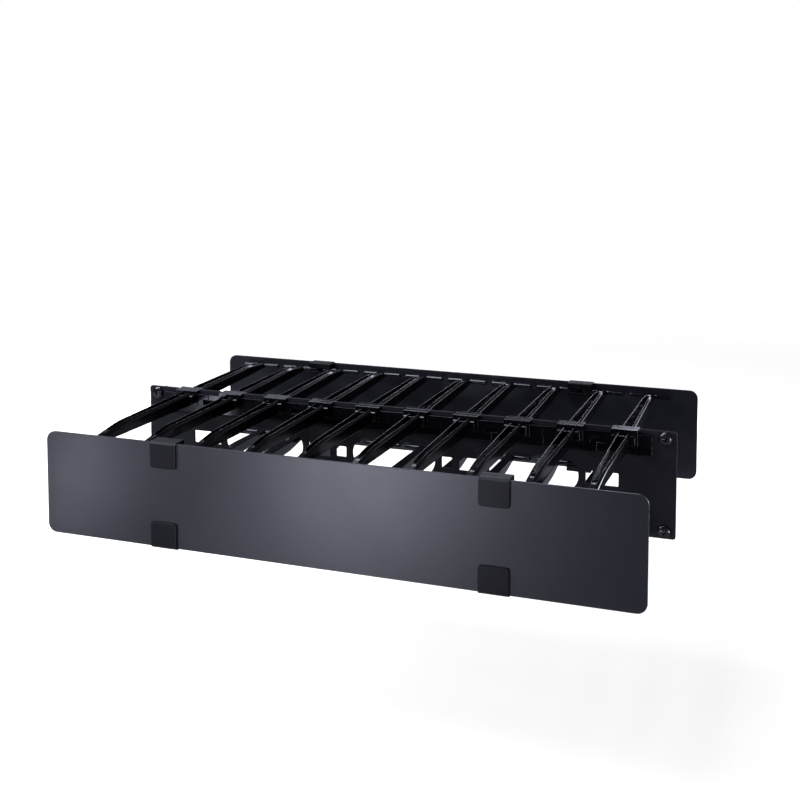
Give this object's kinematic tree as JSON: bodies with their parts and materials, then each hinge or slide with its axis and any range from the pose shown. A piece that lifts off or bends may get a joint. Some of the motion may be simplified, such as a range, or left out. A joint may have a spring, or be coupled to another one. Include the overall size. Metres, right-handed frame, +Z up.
{
  "type": "horizontal cable manager",
  "caption": "Horizontal rack cable manager: a mounting panel with rows of T-tipped cable fingers in front and behind, closed by flat hinged covers.",
  "frame": {"origin": "middle of the mounting panel's rear face, which lies against the rack posts", "axes": "+X along the rack's width, to the right as seen from the front; +Y into the rack, away from the front cover; +Z up"},
  "size_m": [0.4826, 0.3204, 0.0882],
  "materials": {
    "panel_paint": "black powder coat, satin",
    "cover_paint": "smooth black paint, satin",
    "finger_plastic": "moulded black plastic, semi-gloss",
    "clip_plastic": "moulded black plastic, satin",
    "screw_steel": "black zinc plate, semi-gloss"
  },
  "bodies": {
    "frame": {"mounting_panel": "panel_paint", "rack_screws": "screw_steel", "front_upper_finger_01": "finger_plastic", "front_upper_finger_02": "finger_plastic", "front_upper_finger_03": "finger_plastic", "front_upper_finger_04": "finger_plastic", "front_upper_finger_05": "finger_plastic", "front_upper_finger_06": "finger_plastic", "front_upper_finger_07": "finger_plastic", "front_upper_finger_08": "finger_plastic", "front_upper_finger_09": "finger_plastic", "front_upper_finger_10": "finger_plastic", "front_lower_finger_01": "finger_plastic", "front_lower_finger_02": "finger_plastic", "front_lower_finger_03": "finger_plastic", "front_lower_finger_04": "finger_plastic", "front_lower_finger_05": "finger_plastic", "front_lower_finger_06": "finger_plastic", "front_lower_finger_07": "finger_plastic", "front_lower_finger_08": "finger_plastic", "front_lower_finger_09": "finger_plastic", "front_lower_finger_10": "finger_plastic", "rear_upper_finger_01": "finger_plastic", "rear_upper_finger_02": "finger_plastic", "rear_upper_finger_03": "finger_plastic", "rear_upper_finger_04": "finger_plastic", "rear_upper_finger_05": "finger_plastic", "rear_upper_finger_06": "finger_plastic", "rear_upper_finger_07": "finger_plastic", "rear_upper_finger_08": "finger_plastic", "rear_upper_finger_09": "finger_plastic", "rear_upper_finger_10": "finger_plastic", "rear_lower_finger_01": "finger_plastic", "rear_lower_finger_02": "finger_plastic", "rear_lower_finger_03": "finger_plastic", "rear_lower_finger_04": "finger_plastic", "rear_lower_finger_05": "finger_plastic", "rear_lower_finger_06": "finger_plastic", "rear_lower_finger_07": "finger_plastic", "rear_lower_finger_08": "finger_plastic", "rear_lower_finger_09": "finger_plastic", "rear_lower_finger_10": "finger_plastic"},
    "front_door": {"front_cover": "cover_paint", "front_upper_clip_left": "clip_plastic", "front_upper_clip_right": "clip_plastic", "front_lower_clip_left": "clip_plastic", "front_lower_clip_right": "clip_plastic"},
    "rear_door": {"rear_cover": "cover_paint", "rear_upper_clip_left": "clip_plastic", "rear_upper_clip_right": "clip_plastic", "rear_lower_clip_left": "clip_plastic", "rear_lower_clip_right": "clip_plastic"}
  },
  "joints": [
    {"name": "front_cover_hinge", "type": "hinge", "parent": "frame", "child": "front_door", "pos_m": [0, -0.15, 0.0355], "axis": [-1, 0, 0], "range_deg": [0, 110]},
    {"name": "rear_cover_hinge", "type": "hinge", "parent": "frame", "child": "rear_door", "pos_m": [0, 0.148, 0.0355], "axis": [1, 0, 0], "range_deg": [0, 110]}
  ]
}
